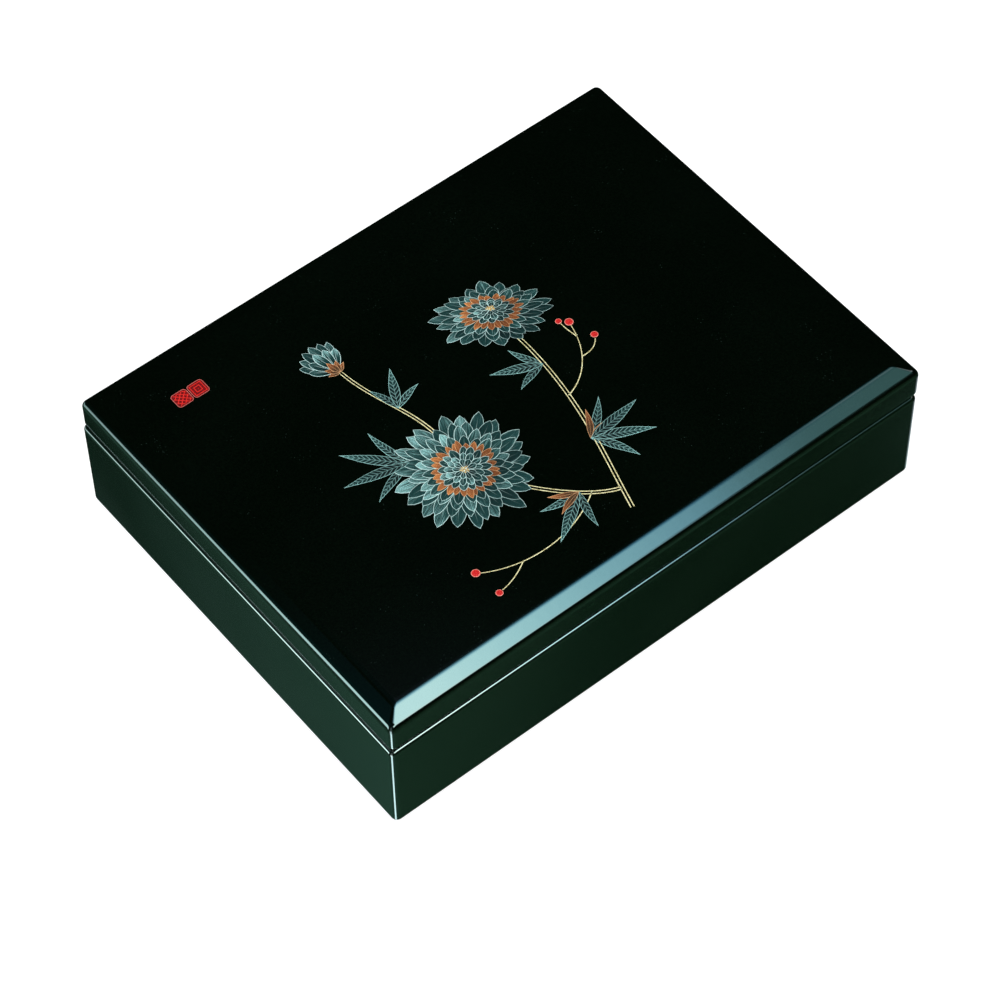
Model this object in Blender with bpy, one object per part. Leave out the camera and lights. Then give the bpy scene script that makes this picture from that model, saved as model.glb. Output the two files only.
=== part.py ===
"""A lacquered document box for A4 papers: a case with a raised inner lip, and a flush lid that lifts off.

Both pieces are shells whose wall profile runs round a rectangle with softened corners. The profile of a
piece is a short list of turns, and each turn is rounded by its own radius. X is the box's length, Y its
width, and the origin is the middle of the underside.
"""

import math
from dataclasses import dataclass

import bmesh
import bpy

MM = 0.001

# Outside of the case
BOX_LENGTH = 330.0 * MM
BOX_WIDTH = 248.5 * MM
CASE_HEIGHT = 60.5 * MM
CORNER_RADIUS = 3.2 * MM
FOOT_ROUND = 3.0 * MM
CASE_RIM_ROUND = 2.1 * MM

# Inside of the case
FLOOR_THICKNESS = 5.0 * MM
FLOOR_FILLET = 2.5 * MM
CAVITY_CORNER_RADIUS = 4.0 * MM

# The lip that stands up inside the rim and guides the lid
LIP_HEIGHT = 7.0 * MM
LIP_THICKNESS = 3.0 * MM
LIP_ROUND = 0.9 * MM
LIP_CORNER_RADIUS = 2.0 * MM

# How the lid sits on the case: it is a little smaller, and lies a little off the middle of its play
SEAM_GAP = 0.4 * MM
LID_SETBACK_X = 0.15 * MM
LID_SETBACK_Y = 0.5 * MM
LID_PLAY = 0.6 * MM
LID_SHIFT_X = 0.55 * MM
LID_SHIFT_Y = -0.15 * MM

# The lid
LID_SIDE_HEIGHT = 18.75 * MM
LID_WALL = 4.8 * MM
LID_TOP_THICKNESS = 5.0 * MM
LID_RIM_ROUND = 4.0 * MM
LID_INNER_ROUND = 0.5 * MM
LID_CEILING_FILLET = 2.0 * MM
SHOULDER_ROUND = 4.1 * MM
SLOPE_INSET = 10.2 * MM
SLOPE_RISE = 2.85 * MM
CREST_ROUND = 16.0 * MM
CREST_CORNER_RADIUS = 1.0 * MM

# Fineness of the faceted rounds
CORNER_STEPS = 8
ROUND_STEPS = 6

# The largest share of a straight that a round at one of its ends may take
LONGEST_REACH = 0.85

# Colours, linear
BLACK_LACQUER = (0.004, 0.006, 0.005, 1.0)
GREEN_BLACK_LACQUER = (0.006, 0.012, 0.009, 1.0)


@dataclass
class Turn:
    """One turn of a wall's profile.

    inset is measured inwards from the piece's own outline, height is world Z, round is the radius that
    softens the turn, and corner is the radius of the rectangle's corners at that turn.
    """

    inset: float
    height: float
    corner: float
    round: float = 0.0


def clear_scene():
    for obj in list(bpy.data.objects):
        bpy.data.objects.remove(obj, do_unlink=True)


def lacquer(name, colour, roughness):
    material = bpy.data.materials.new(name)
    material.use_nodes = True
    shader = material.node_tree.nodes["Principled BSDF"]
    shader.inputs["Base Color"].default_value = colour
    shader.inputs["Roughness"].default_value = roughness
    shader.inputs["Metallic"].default_value = 0.0
    return material


def rounded_turn(before, turn, after):
    """The rings that carry a profile round one turn on an arc that touches both of its straights."""
    into = (turn.inset - before.inset, turn.height - before.height)
    out = (after.inset - turn.inset, after.height - turn.height)
    length_in = math.hypot(*into)
    length_out = math.hypot(*out)
    heading_in = math.atan2(into[1], into[0])
    heading_out = math.atan2(out[1], out[0])
    bend = (heading_out - heading_in + math.pi) % (2 * math.pi) - math.pi
    reach = turn.round * math.tan(abs(bend) / 2)
    reach = min(reach, LONGEST_REACH * length_in, LONGEST_REACH * length_out)
    radius = reach / math.tan(abs(bend) / 2)
    side = math.copysign(1.0, bend)
    start_inset = turn.inset - reach * into[0] / length_in
    start_height = turn.height - reach * into[1] / length_in
    centre_inset = start_inset - side * radius * math.sin(heading_in)
    centre_height = start_height + side * radius * math.cos(heading_in)
    start_corner = turn.corner + (before.corner - turn.corner) * reach / length_in
    end_corner = turn.corner + (after.corner - turn.corner) * reach / length_out
    rings = []
    for step in range(ROUND_STEPS + 1):
        share = step / ROUND_STEPS
        heading = heading_in + bend * share
        inset = centre_inset + side * radius * math.sin(heading)
        height = centre_height - side * radius * math.cos(heading)
        corner = start_corner + (end_corner - start_corner) * share
        rings.append(Turn(inset, height, corner))
    return rings


def soften(turns):
    """The rings along a profile: its two ends, and each turn between them, rounded where it asks for it."""
    rings = [turns[0]]
    for before, turn, after in zip(turns, turns[1:], turns[2:]):
        if turn.round > 0:
            rings += rounded_turn(before, turn, after)
        else:
            rings.append(turn)
    rings.append(turns[-1])
    return rings


def add_ring(mesh, ring, length, width, shift):
    """A closed loop of points: the rectangle at this ring's inset and height, its corners on arcs."""
    half_x = length / 2 - ring.inset
    half_y = width / 2 - ring.inset
    points = []
    for quarter in range(4):
        sign_x = 1 if quarter in (0, 3) else -1
        sign_y = 1 if quarter in (0, 1) else -1
        for step in range(CORNER_STEPS + 1):
            angle = math.pi / 2 * (quarter + step / CORNER_STEPS)
            x = sign_x * (half_x - ring.corner) + ring.corner * math.cos(angle)
            y = sign_y * (half_y - ring.corner) + ring.corner * math.sin(angle)
            points.append(mesh.verts.new((x + shift[0], y + shift[1], ring.height)))
    return points


def join_rings(mesh, first, second):
    """The band of faces between two rings, point to point."""
    sides = zip(first, first[1:] + first[:1], second[1:] + second[:1], second)
    for corners in sides:
        mesh.faces.new(corners)


def build_shell(name, turns, length, width, material, shift=(0.0, 0.0)):
    """One closed shell: the softened profile taken round the rectangle and capped at both ends."""
    mesh = bmesh.new()
    rings = [add_ring(mesh, ring, length, width, shift) for ring in soften(turns)]
    for first, second in zip(rings, rings[1:]):
        join_rings(mesh, first, second)
    mesh.faces.new(list(reversed(rings[0])))
    mesh.faces.new(rings[-1])
    if mesh.calc_volume(signed=True) < 0:
        bmesh.ops.reverse_faces(mesh, faces=mesh.faces)
    data = bpy.data.meshes.new(name)
    mesh.to_mesh(data)
    mesh.free()
    data.materials.append(material)
    data.shade_smooth()
    data.set_sharp_from_angle(angle=math.radians(30))
    obj = bpy.data.objects.new(name, data)
    bpy.context.scene.collection.objects.link(obj)
    return obj


def build_case():
    """The case: underside, outer wall, the ledge that carries the lid, the lip, and the cavity."""
    ledge = LID_SETBACK_Y + LID_WALL + LID_PLAY
    inside = ledge + LIP_THICKNESS
    lip_top = CASE_HEIGHT + LIP_HEIGHT
    turns = [
        Turn(inside, 0.0, CORNER_RADIUS),
        Turn(0.0, 0.0, CORNER_RADIUS, FOOT_ROUND),
        Turn(0.0, CASE_HEIGHT, CORNER_RADIUS, CASE_RIM_ROUND),
        Turn(ledge, CASE_HEIGHT, LIP_CORNER_RADIUS),
        Turn(ledge, lip_top, LIP_CORNER_RADIUS, LIP_ROUND),
        Turn(inside, lip_top, CAVITY_CORNER_RADIUS, LIP_ROUND),
        Turn(inside, FLOOR_THICKNESS, CAVITY_CORNER_RADIUS, FLOOR_FILLET),
        Turn(inside + 2 * FLOOR_FILLET, FLOOR_THICKNESS, CAVITY_CORNER_RADIUS),
    ]
    material = lacquer("case_lacquer", GREEN_BLACK_LACQUER, 0.32)
    return build_shell("box_body", turns, BOX_LENGTH, BOX_WIDTH, material)


def build_lid():
    """The lid: ceiling, inner wall, rim, outer side, shoulder, the sloped border and the flat top."""
    rim = CASE_HEIGHT + SEAM_GAP
    shoulder = rim + LID_SIDE_HEIGHT
    top = shoulder + SLOPE_RISE
    ceiling = top - LID_TOP_THICKNESS
    turns = [
        Turn(LID_WALL + 2 * LID_CEILING_FILLET, ceiling, LIP_CORNER_RADIUS),
        Turn(LID_WALL, ceiling, LIP_CORNER_RADIUS, LID_CEILING_FILLET),
        Turn(LID_WALL, rim, LIP_CORNER_RADIUS, LID_INNER_ROUND),
        Turn(0.0, rim, CORNER_RADIUS, LID_RIM_ROUND),
        Turn(0.0, shoulder, CORNER_RADIUS, SHOULDER_ROUND),
        Turn(SLOPE_INSET, top, CREST_CORNER_RADIUS, CREST_ROUND),
        Turn(2 * SLOPE_INSET, top, CREST_CORNER_RADIUS),
    ]
    length = BOX_LENGTH - 2 * LID_SETBACK_X
    width = BOX_WIDTH - 2 * LID_SETBACK_Y
    material = lacquer("lid_lacquer", BLACK_LACQUER, 0.12)
    return build_shell("lid", turns, length, width, material, (LID_SHIFT_X, LID_SHIFT_Y))


def main():
    clear_scene()
    build_case()
    build_lid()


main()
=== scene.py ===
"""Studio dressing of a lacquered document box: case, flush lid, painted spray and two small red frames."""

from __future__ import annotations

import logging
import math
import random
from dataclasses import dataclass
from enum import Enum
from typing import Any

import bmesh
import bpy
from mathutils import Matrix, Vector


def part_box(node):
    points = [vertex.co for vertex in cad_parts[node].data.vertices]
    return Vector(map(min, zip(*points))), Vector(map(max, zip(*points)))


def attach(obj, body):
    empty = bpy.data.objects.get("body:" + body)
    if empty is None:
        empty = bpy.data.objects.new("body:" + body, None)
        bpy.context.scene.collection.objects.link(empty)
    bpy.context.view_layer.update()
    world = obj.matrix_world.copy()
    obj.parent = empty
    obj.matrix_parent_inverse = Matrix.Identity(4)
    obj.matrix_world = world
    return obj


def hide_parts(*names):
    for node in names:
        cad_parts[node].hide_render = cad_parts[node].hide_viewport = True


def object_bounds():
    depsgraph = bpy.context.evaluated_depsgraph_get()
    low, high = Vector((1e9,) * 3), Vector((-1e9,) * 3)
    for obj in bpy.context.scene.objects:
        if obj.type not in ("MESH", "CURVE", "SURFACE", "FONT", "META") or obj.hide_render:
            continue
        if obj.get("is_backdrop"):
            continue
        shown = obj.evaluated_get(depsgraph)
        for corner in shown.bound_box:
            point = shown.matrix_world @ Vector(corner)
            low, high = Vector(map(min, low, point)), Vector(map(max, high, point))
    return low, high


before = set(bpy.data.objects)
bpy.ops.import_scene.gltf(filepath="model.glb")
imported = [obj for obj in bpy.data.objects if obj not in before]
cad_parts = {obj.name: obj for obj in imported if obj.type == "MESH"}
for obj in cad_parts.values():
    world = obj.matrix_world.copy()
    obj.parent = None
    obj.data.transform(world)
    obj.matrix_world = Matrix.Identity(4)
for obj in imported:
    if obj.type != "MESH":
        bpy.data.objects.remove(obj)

LOG = logging.getLogger("document_box")
MM = 0.001
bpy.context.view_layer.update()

Colour = tuple[float, float, float]
Triple = tuple[float, float, float]

# The largest share of a straight that a round at one of its ends may take
LONGEST_REACH = 0.85

# Edges that bend more than this stay sharp
SHARP_ANGLE = math.radians(30)

# The turn from one grain to the next that fills a round heart evenly
GOLDEN_ANGLE = math.radians(137.508)

# The paint on the lid, in millimetres: the film of a coat, how far a blade's middle and its one edge stand
# up, the step from blade to blade in a fan, the lift of the lines and of the berries, half a bead's height,
# and how deep a red frame sits in the lid
PAINT_FILM = 0.05
BLADE_CROWN = 0.003
BLADE_TILT = 0.008
FAN_STEP = 0.02
LINE_LIFT = 0.02
BERRY_LIFT = 0.04
BEAD_RISE = 0.16
FRAME_HOLD = 0.01

# The least half width of a blade in millimetres, and the bend in radians below which it counts as straight
THINNEST = 0.03
STRAIGHT = 1e-4


def paint(code: str) -> Colour:
    """Turns a six-digit screen colour into the linear colour that a shader works in.

    Args:
        code: The colour as six hexadecimal digits.

    Returns:
        The linear red, green and blue.
    """
    shares = [int(code[i:i + 2], 16) / 255 for i in (0, 2, 4)]
    linear = [s / 12.92 if s <= 0.04045 else ((s + 0.055) / 1.055) ** 2.4 for s in shares]
    return (linear[0], linear[1], linear[2])


class Signal:
    """A value on its way through a node tree, with arithmetic that adds the Math nodes."""

    def __init__(self, graph: Graph, socket: bpy.types.NodeSocket) -> None:
        """Keeps the socket and the graph that new nodes go into."""
        self.graph = graph
        self.socket = socket

    def maths(self, operation: str, *others: Signal | float) -> Signal:
        """Adds one Math node on this value, with the others as its further inputs."""
        values = dict(enumerate((self, *others)))
        return self.graph.node("ShaderNodeMath", {"operation": operation}, values)

    def __add__(self, other: Signal | float) -> Signal:
        """Gives self + other."""
        return self.maths("ADD", other)

    __radd__ = __add__

    def __sub__(self, other: Signal | float) -> Signal:
        """Gives self - other."""
        return self.maths("SUBTRACT", other)

    def __rsub__(self, other: float) -> Signal:
        """Gives other - self."""
        return (self * -1.0) + other

    def __mul__(self, other: Signal | float) -> Signal:
        """Gives self * other."""
        return self.maths("MULTIPLY", other)

    __rmul__ = __mul__

    def __truediv__(self, other: Signal | float) -> Signal:
        """Gives self / other."""
        return self.maths("DIVIDE", other)

    def size(self) -> Signal:
        """Gives the value without its sign."""
        return self.maths("ABSOLUTE")

    def wave(self) -> Signal:
        """Gives a ripple from 0 to 1, one for each whole number that the value passes."""
        return (self * math.tau).maths("SINE") * 0.5 + 0.5

    def most(self, other: Signal | float) -> Signal:
        """Gives the larger of the two."""
        return self.maths("MAXIMUM", other)

    def least(self, other: Signal | float) -> Signal:
        """Gives the smaller of the two."""
        return self.maths("MINIMUM", other)

    def rise(self, start: float, end: float, low: float = 0.0, high: float = 1.0) -> Signal:
        """Eases from one level to another while the value goes from start to end.

        Args:
            start: The value where the change begins.
            end: The value where the change is done; it may lie below start.
            low: The level before the change.
            high: The level after it.

        Returns:
            The eased level.
        """
        flip = end < start
        edges = {"From Min": end if flip else start, "From Max": start if flip else end}
        levels = {"To Min": high if flip else low, "To Max": low if flip else high}
        settings = {"interpolation_type": "SMOOTHSTEP"}
        return self.graph.node("ShaderNodeMapRange", settings, {"Value": self, **edges, **levels})

    def within(self, low: float, high: float, soft_low: float, soft_high: float) -> Signal:
        """Gives 1 from low to high and 0 outside; each edge fades by its softness to both sides."""
        return self.rise(low - soft_low, low + soft_low) * self.rise(high + soft_high, high - soft_high)


class Graph:
    """A node tree that is filled by name, one method for every kind of node."""

    def __init__(self, tree: bpy.types.NodeTree) -> None:
        """Empties the tree and keeps it."""
        self.tree = tree
        tree.nodes.clear()

    def node(
        self,
        kind: str,
        settings: dict[str, Any] | None = None,
        inputs: dict[str | int, Any] | None = None,
        output: str | int = 0,
    ) -> Signal:
        """Adds one node.

        Args:
            kind: The node's type.
            settings: The node's own options; "stops" holds a colour ramp's places and colours.
            inputs: A value or a Signal for each socket, by its name or number.
            output: The name or number of the result that is wanted.

        Returns:
            That result, or the node's first input where it has no result.
        """
        made = self.tree.nodes.new(kind)
        for name, value in (settings or {}).items():
            if name == "stops":
                self.set_stops(made.color_ramp, value)
            else:
                setattr(made, name, value)
        for key, value in (inputs or {}).items():
            socket = made.inputs[key]
            if isinstance(value, Signal):
                self.tree.links.new(value.socket, socket)
            elif socket.type == "RGBA":
                socket.default_value = (*value, 1.0)
            else:
                socket.default_value = value
        return Signal(self, made.outputs[output] if made.outputs else made.inputs[0])

    @staticmethod
    def set_stops(ramp: bpy.types.ColorRamp, stops: list[tuple[float, Colour]]) -> None:
        """Gives a colour ramp its stops.

        Args:
            ramp: The colour ramp.
            stops: The place of each stop, 0 to 1, and its colour.
        """
        while len(ramp.elements) < len(stops):
            ramp.elements.new(0.5)
        for element, (place, colour) in zip(ramp.elements, stops):
            element.position = place
            element.color = (*colour, 1.0)

    def object_place(self) -> Signal:
        """Gives the place on the object, in metres."""
        return self.node("ShaderNodeTexCoord", output="Object")

    def parts(self, vector: Signal) -> tuple[Signal, Signal, Signal]:
        """Splits a vector.

        Args:
            vector: The vector to split.

        Returns:
            Its X, Y and Z.
        """
        split = self.node("ShaderNodeSeparateXYZ", inputs={0: vector})
        outputs = split.socket.node.outputs
        return (Signal(self, outputs[0]), Signal(self, outputs[1]), Signal(self, outputs[2]))

    def joined(self, x: Signal, y: Signal, z: Signal) -> Signal:
        """Gives the vector of three values."""
        return self.node("ShaderNodeCombineXYZ", inputs={0: x, 1: y, 2: z})

    def blend(self, share: Signal | float, first: Signal | Colour, second: Signal | Colour) -> Signal:
        """Blends two colours: the first shows at a share of 0, the second at 1."""
        inputs = {0: share, 6: first, 7: second}
        return self.node("ShaderNodeMix", {"data_type": "RGBA"}, inputs, output=2)

    def lit(self, colour: Signal | Colour, amount: Signal | float) -> Signal:
        """Gives a colour scaled by an amount."""
        value = colour if isinstance(colour, Signal) else Vector(colour)
        return self.node("ShaderNodeVectorMath", {"operation": "SCALE"}, {0: value, 3: amount})

    def summed(self, first: Signal, *others: Signal) -> Signal:
        """Adds colours up.

        Args:
            first: The first colour.
            others: The colours that are added to it.

        Returns:
            The sum.
        """
        for other in others:
            first = self.node("ShaderNodeVectorMath", {"operation": "ADD"}, {0: first, 1: other})
        return first

    def noise(self, vector: Signal, scale: float, detail: float = 2.0, roughness: float = 0.5) -> Signal:
        """Gives cloudy noise around 0.5: the clouds to a metre, the finer layers and their strength."""
        inputs = {"Vector": vector, "Scale": scale, "Detail": detail, "Roughness": roughness}
        return self.node("ShaderNodeTexNoise", inputs=inputs)

    def cells(self, vector: Signal, scale: float) -> Signal:
        """Gives the distance to the nearest of many scattered points."""
        inputs = {"Vector": vector, "Scale": scale}
        return self.node("ShaderNodeTexVoronoi", {"feature": "F1"}, inputs, "Distance")

    def attribute(self, name: str) -> Signal:
        """Gives a number that is stored on the mesh."""
        return self.node("ShaderNodeAttribute", {"attribute_name": name}, output="Fac")

    def bump(
        self, height: Signal, distance: float, strength: float = 1.0, over: Signal | None = None,
    ) -> Signal:
        """Gives the normal of a surface with fine relief.

        Args:
            height: The relief, 0 to 1.
            distance: The relief's depth in metres.
            strength: How much of the relief shows.
            over: Another relief underneath.

        Returns:
            The normal.
        """
        inputs: dict[str | int, Any] = {"Height": height, "Distance": distance, "Strength": strength}
        if over is not None:
            inputs["Normal"] = over
        return self.node("ShaderNodeBump", inputs=inputs)


class Finish:
    """A surface finish: a material that is made once and then shared."""

    name: str

    def shade(self, graph: Graph) -> dict[str, Any]:
        """Gives the shader's inputs; each finish has its own."""
        raise NotImplementedError

    def material(self) -> bpy.types.Material:
        """Gives the finish's material, and makes it the first time.

        Returns:
            The material.
        """
        known = bpy.data.materials.get(self.name)
        if known is not None:
            return known
        made = bpy.data.materials.new(self.name)
        made.use_nodes = True
        graph = Graph(made.node_tree)
        surface = graph.node("ShaderNodeBsdfPrincipled", inputs=self.shade(graph))
        graph.node("ShaderNodeOutputMaterial", inputs={"Surface": surface})
        return made


@dataclass(frozen=True)
class Lacquer(Finish):
    """Black lacquer, rubbed down and polished, with a green cast and the fine dust that settles in it."""

    name: str
    colour: Colour
    cast: Colour
    roughness: float
    haze: float
    dust: float
    peel: float
    shine: float = 0.5
    tint: Colour = (1.0, 1.0, 1.0)
    cloud_scale: float = 14.0
    grain_scale: float = 900.0
    mote_scale: float = 620.0
    patch_scale: float = 95.0
    mote_colour: Colour = paint("5f7a72")
    peel_scale: float = 160.0
    peel_depth: float = 0.012 * MM
    grain_depth: float = 0.0012 * MM

    def shade(self, graph: Graph) -> dict[str, Any]:
        """Gives the lacquer's colour, polish and relief.

        Args:
            graph: The material's node tree.

        Returns:
            The shader's inputs.
        """
        place = graph.object_place()
        clouds = graph.noise(place, self.cloud_scale, 3.0)
        grain = graph.noise(place, self.grain_scale, 2.0, 0.6)
        motes = graph.cells(place, self.mote_scale).rise(0.20, 0.05)
        chosen = graph.noise(place, self.patch_scale, 1.0).rise(0.60, 0.72)
        specks = motes * chosen * self.dust
        body = graph.blend(clouds.rise(0.35, 0.7), self.colour, self.cast)
        mottled = graph.lit(body, grain.rise(0.3, 0.7, 0.72, 1.3))
        colour = graph.blend(specks, mottled, self.mote_colour)
        polish = clouds.rise(0.3, 0.7, self.roughness, self.roughness + self.haze)
        skin = graph.bump(graph.noise(place, self.peel_scale, 2.0), self.peel_depth, self.peel)
        relief = graph.bump(grain, self.grain_depth, self.peel, skin)
        return {
            "Base Color": colour, "Roughness": polish, "Normal": relief,
            "IOR": 1.5, "Specular IOR Level": self.shine, "Specular Tint": self.tint,
        }


@dataclass(frozen=True)
class Blades(Finish):
    """Paint on a petal or a leaf: a fine pale outline and rib over a dark body that lightens to its tip."""

    name: str
    root: Colour
    body: Colour
    tip: Colour
    line: Colour
    outline: float
    streak: float
    vein_pitch: float
    vein_depth: float
    grit_scale: float = 1900.0
    line_relief: float = 0.02 * MM
    roughness: float = 0.42
    shine: float = 0.12

    def shade(self, graph: Graph) -> dict[str, Any]:
        """Gives the painted blade's colour and relief.

        Args:
            graph: The material's node tree.

        Returns:
            The shader's inputs.
        """
        u, v, _ = graph.parts(graph.node("ShaderNodeUVMap", {"uv_map": "UVMap"}))
        half = graph.attribute("half_width")
        length = graph.attribute("blade_length")
        tone = graph.attribute("tone")
        across = (u * 2.0 - 1.0) * half
        along = v * length
        from_rib = across.size()
        from_edge = (half - from_rib).least((1.0 - v) * length * 1.4)
        grit = graph.noise(graph.object_place(), self.grit_scale, 2.0, 0.7)
        strokes = graph.noise(graph.joined(across * 2.6, along * 0.12, tone * 40.0), 1.0, 2.0, 0.6)
        light = v.rise(0.1, 1.0) * tone
        body = graph.blend(light.rise(0.05, 0.62), self.root, self.body)
        body = graph.blend((light + (strokes - 0.5) * self.streak).rise(0.55, 1.2), body, self.tip)
        dusted = graph.lit(body, grit.rise(0.28, 0.72, 0.5, 1.7))
        edge = from_edge.rise(self.outline * 1.3, self.outline * 0.7)
        rib = from_rib.rise(0.16, 0.06) * v.rise(0.95, 0.6) * 0.5
        veins = ((along - from_rib * 1.3) / self.vein_pitch).wave().rise(0.80, 0.97) * self.vein_depth
        lines = edge.most(rib).most(veins) * grit.rise(0.2, 0.55, 0.6, 1.0) * tone.rise(0.1, 0.9, 0.45, 1.0)
        colour = graph.blend(lines, dusted, self.line)
        relief = graph.bump(lines, self.line_relief)
        return {
            "Base Color": colour, "Roughness": self.roughness, "Specular IOR Level": self.shine,
            "Normal": relief,
        }


@dataclass(frozen=True)
class Strand(Finish):
    """The cream-gold paint of the thin stems, a little uneven."""

    name: str
    light: Colour
    dark: Colour
    grit_scale: float = 900.0
    roughness: float = 0.35
    shine: float = 0.2

    def shade(self, graph: Graph) -> dict[str, Any]:
        """Gives the strand's colour.

        Args:
            graph: The material's node tree.

        Returns:
            The shader's inputs.
        """
        grit = graph.noise(graph.object_place(), self.grit_scale, 2.0)
        colour = graph.blend(grit.rise(0.35, 0.7), self.light, self.dark)
        return {"Base Color": colour, "Roughness": self.roughness, "Specular IOR Level": self.shine}


@dataclass(frozen=True)
class Bead(Finish):
    """Paint on a berry or a grain: a fine pale outline around a darker body."""

    name: str
    body: Colour
    deep: Colour
    line: Colour
    grit_scale: float = 1500.0
    roughness: float = 0.3
    shine: float = 0.2

    def shade(self, graph: Graph) -> dict[str, Any]:
        """Gives the bead's colour.

        Args:
            graph: The material's node tree.

        Returns:
            The shader's inputs.
        """
        reach = graph.attribute("reach")
        grit = graph.noise(graph.object_place(), self.grit_scale, 2.0)
        body = graph.blend(grit.rise(0.3, 0.7), self.deep, self.body)
        colour = graph.blend(reach.rise(0.78, 0.92) * 0.7, body, self.line)
        return {"Base Color": colour, "Roughness": self.roughness, "Specular IOR Level": self.shine}


class Lattice(Enum):
    """The plain geometric filling of a small red frame."""

    DIAMONDS = "diamonds"
    SQUARES = "squares"


@dataclass(frozen=True)
class RedFrame(Finish):
    """A small rounded square in red, in millimetres: a fine pale outline around a plain lattice."""

    name: str
    lattice: Lattice
    ground: Colour
    stroke: Colour
    outline: Colour
    half_side: float
    corner: float
    diamond_pitch: float = 2.6
    square_pitch: float = 1.6
    grit_scale: float = 1500.0
    roughness: float = 0.3

    def shade(self, graph: Graph) -> dict[str, Any]:
        """Gives the frame's colour.

        Args:
            graph: The material's node tree.

        Returns:
            The shader's inputs.
        """
        x = graph.attribute("frame_x")
        y = graph.attribute("frame_y")
        inner = self.half_side - self.corner
        over_x = (x.size() - inner).most(0.0)
        over_y = (y.size() - inner).most(0.0)
        bow = (over_x * over_x + over_y * over_y).maths("SQRT")
        from_edge = (x.size().most(y.size()) - inner).least(0.0) * -1.0 - bow + self.corner
        if self.lattice is Lattice.DIAMONDS:
            rising, falling = (x + y) / self.diamond_pitch, (x - y) / self.diamond_pitch
            mesh = rising.wave().rise(0.80, 0.95).most(falling.wave().rise(0.80, 0.95))
        else:
            mesh = (x.size().most(y.size()) / self.square_pitch + 0.25).wave().rise(0.72, 0.92)
        mesh = mesh * from_edge.rise(0.75, 1.0)
        grit = graph.noise(graph.object_place(), self.grit_scale, 2.0)
        ground = graph.blend(grit.rise(0.3, 0.7), self.ground, graph.lit(self.ground, 1.8))
        colour = graph.blend(mesh * 0.9, ground, self.stroke)
        rim = from_edge.within(0.10, 0.34, 0.06, 0.06)
        colour = graph.blend(rim, colour, self.outline)
        return {"Base Color": colour, "Roughness": self.roughness}


@dataclass(frozen=True)
class Paper(Finish):
    """The pale floor of the studio, which glows a little so that it stays white under the box."""

    name: str
    colour: Colour
    glow: float
    fibre_scale: float = 60.0
    roughness: float = 0.9
    shine: float = 0.2

    def shade(self, graph: Graph) -> dict[str, Any]:
        """Gives the floor's colour.

        Args:
            graph: The material's node tree.

        Returns:
            The shader's inputs.
        """
        place = graph.object_place()
        fibre = graph.noise(place, self.fibre_scale, 3.0)
        colour = graph.lit(self.colour, fibre.rise(0.3, 0.7, 0.99, 1.01))
        return {
            "Base Color": colour, "Roughness": self.roughness, "Specular IOR Level": self.shine,
            "Emission Color": (1.0, 1.0, 1.0), "Emission Strength": self.glow,
        }


POLISHED = Lacquer(
    "polished_lacquer", (0.0005, 0.0016, 0.0007), (0.0007, 0.0020, 0.0010),
    roughness=0.06, haze=0.02, dust=0.14, peel=0.4,
)
# The walls' lacquer is a lighter, greener copy of the polished lacquer: its extra lightness over the top's
# is painted reflection, standing in for the floor's light on the walls.
SIDE_LACQUER_PAINTED_REFLECTION = Lacquer(
    "side_lacquer_painted_reflection", (0.0020, 0.0070, 0.0030), (0.0027, 0.0084, 0.0038),
    roughness=0.09, haze=0.03, dust=0.09, peel=0.6,
)
# The rims' lacquer carries the same painted reflection in its lighter colour, and mirrors more strongly,
# with its own tint.
RIM_LACQUER_PAINTED_REFLECTION = Lacquer(
    "rim_lacquer_painted_reflection", (0.0018, 0.0062, 0.0028), (0.0022, 0.0070, 0.0032),
    roughness=0.05, haze=0.02, dust=0.1, peel=0.3, shine=0.95, tint=(1.0, 0.90, 0.87),
)
INNER_LACQUER = Lacquer(
    "inner_lacquer", (0.0024, 0.0055, 0.0036), (0.0032, 0.0070, 0.0046),
    roughness=0.34, haze=0.08, dust=0.3, peel=1.0,
)

SILVER_TEAL = Blades(
    "silver_teal_paint", paint("040c0c"), paint("12302f"), paint("84b4b2"), paint("cdeeeb"),
    outline=0.26, streak=1.1, vein_pitch=50.0, vein_depth=0.0,
)
DEEP_TEAL = Blades(
    "deep_teal_paint", paint("040b0b"), paint("0e2625"), paint("34625f"), paint("93c4c0"),
    outline=0.24, streak=0.8, vein_pitch=2.6, vein_depth=0.45,
)
COPPER = Blades(
    "copper_paint_finish", paint("120602"), paint("602c0d"), paint("b9723b"), paint("dda777"),
    outline=0.22, streak=0.9, vein_pitch=1.1, vein_depth=0.35,
)
GOLD = Strand("gold_line_paint", paint("e6e0b0"), paint("b8ad78"))
RED = Bead("red_berry_paint", paint("d62a2c"), paint("96120f"), paint("ef9d8c"))
GRAIN = Bead("gold_grain_paint", paint("c9a765"), paint("7d5a24"), paint("f0e3b4"))


@dataclass(frozen=True)
class Turn:
    """One turn of a wall's profile.

    inset is measured inwards from the piece's outline, height is the world's Z, corner is the radius of
    the rectangle's corners at that turn, round softens the turn, finish numbers the surface that follows
    it, and bend numbers the surface on the rounded turn itself where that one has its own.
    """

    inset: float
    height: float
    corner: float
    round: float = 0.0
    finish: int = 0
    bend: int | None = None


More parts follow.
